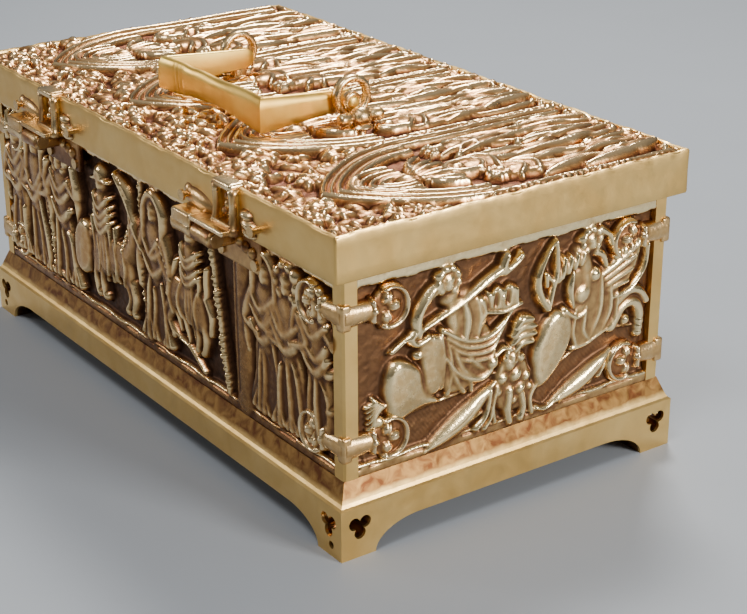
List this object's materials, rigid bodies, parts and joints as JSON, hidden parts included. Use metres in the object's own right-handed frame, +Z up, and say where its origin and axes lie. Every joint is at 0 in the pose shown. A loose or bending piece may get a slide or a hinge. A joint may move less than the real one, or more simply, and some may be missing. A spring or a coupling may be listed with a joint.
{
  "type": "relief casket",
  "caption": "Rectangular brass casket on a bracket-footed plinth, with relief panels, corner clasps, a hinged relief lid and a folding bail handle.",
  "frame": {"origin": "bottom centre of the box that the whole casket fills, on the surface it stands on", "axes": "+X along the length, +Z up, the hinges on the -Y side"},
  "size_m": [0.249, 0.1472, 0.1245],
  "materials": {
    "polished_band": "polished, hand finished",
    "relief_brass": "cast relief with dark patina in the recesses",
    "lid_relief": "cast relief with a copper tone in the recesses",
    "fittings": "cast, bright edges",
    "handle_brass": "golden, worn",
    "inner_brass": "as cast"
  },
  "bodies": {
    "casket": {"plinth_rail_front": "polished_band", "plinth_rail_right": "polished_band", "plinth_rail_back": "polished_band", "plinth_rail_left": "polished_band", "panel_front": "relief_brass", "panel_right": "relief_brass", "panel_back": "relief_brass", "panel_left": "relief_brass", "corner_post_front_left": "polished_band", "corner_post_front_right": "polished_band", "corner_post_back_right": "polished_band", "corner_post_back_left": "polished_band", "clasp_low_front_left": "fittings", "clasp_high_front_left": "fittings", "clasp_low_front_right": "fittings", "clasp_high_front_right": "fittings", "clasp_low_back_right": "fittings", "clasp_high_back_right": "fittings", "clasp_low_back_left": "fittings", "clasp_high_back_left": "fittings", "floor_plate": "inner_brass", "floor_screws": "inner_brass", "hinge_body_leaf_near": "fittings", "hinge_body_leaf_far": "fittings", "hinge_pin_near": "fittings", "hinge_pin_far": "fittings", "hinge_rivets_body": "fittings"},
    "lid": {"lid_band_front": "polished_band", "lid_band_right": "polished_band", "lid_band_back": "polished_band", "lid_band_left": "polished_band", "lid_plate": "lid_relief", "hinge_lid_leaf_near": "fittings", "hinge_lid_leaf_far": "fittings", "hinge_rivets_lid": "fittings", "handle_lug_left": "fittings", "handle_lug_right": "fittings", "lug_nuts": "inner_brass"},
    "bail": {"bail_handle": "handle_brass"}
  },
  "joints": [
    {"name": "lid_hinge", "type": "hinge", "parent": "casket", "child": "lid", "pos_m": [0, -0.0704, 0.0886], "axis": [1, 0, 0], "range_deg": [0, 100]},
    {"name": "bail_pivot", "type": "hinge", "parent": "lid", "child": "bail", "pos_m": [0, 0.0001, 0.115], "axis": [-1, 0, 0], "range_deg": [0, 170]}
  ]
}
